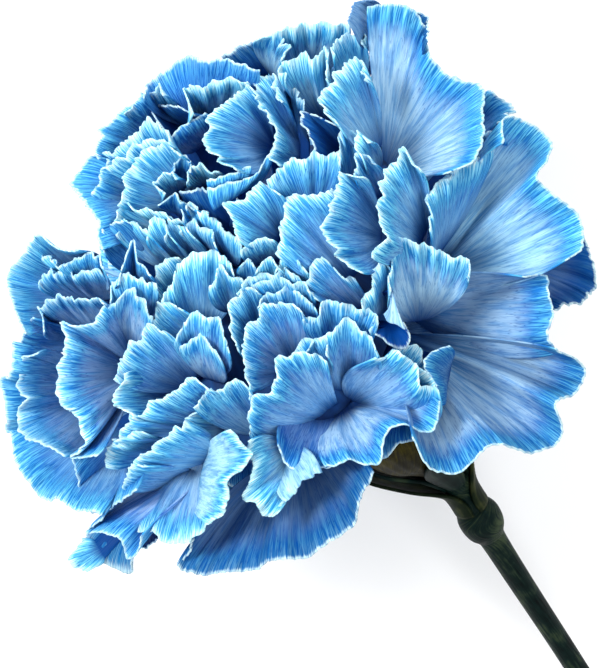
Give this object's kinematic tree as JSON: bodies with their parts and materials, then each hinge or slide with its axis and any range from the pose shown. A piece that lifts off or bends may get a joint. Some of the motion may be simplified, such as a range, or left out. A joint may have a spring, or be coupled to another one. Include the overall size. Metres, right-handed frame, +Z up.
{
  "type": "carnation",
  "caption": "Cut carnation lying on a surface: a full double bloom of fan-shaped, toothed petals, its calyx, a short stem with a swollen joint, and narrow leaves.",
  "frame": {"origin": "bottom centre of the whole flower as it lies on a surface", "axes": "+Z up; the bloom faces -Y and a little upward; the stem runs back to +Y, down to its cut end"},
  "size_m": [0.0802, 0.1359, 0.0757],
  "materials": {
    "petal": "soft matte petal, blue with a pale rim",
    "calyx": "satin waxy green",
    "stem": "satin waxy dark green",
    "leaf": "satin waxy dark green"
  },
  "bodies": {
    "root": {"bloom": "petal", "calyx": "calyx", "stem": "stem", "leaf_left": "leaf", "leaf_right": "leaf"}
  },
  "joints": []
}
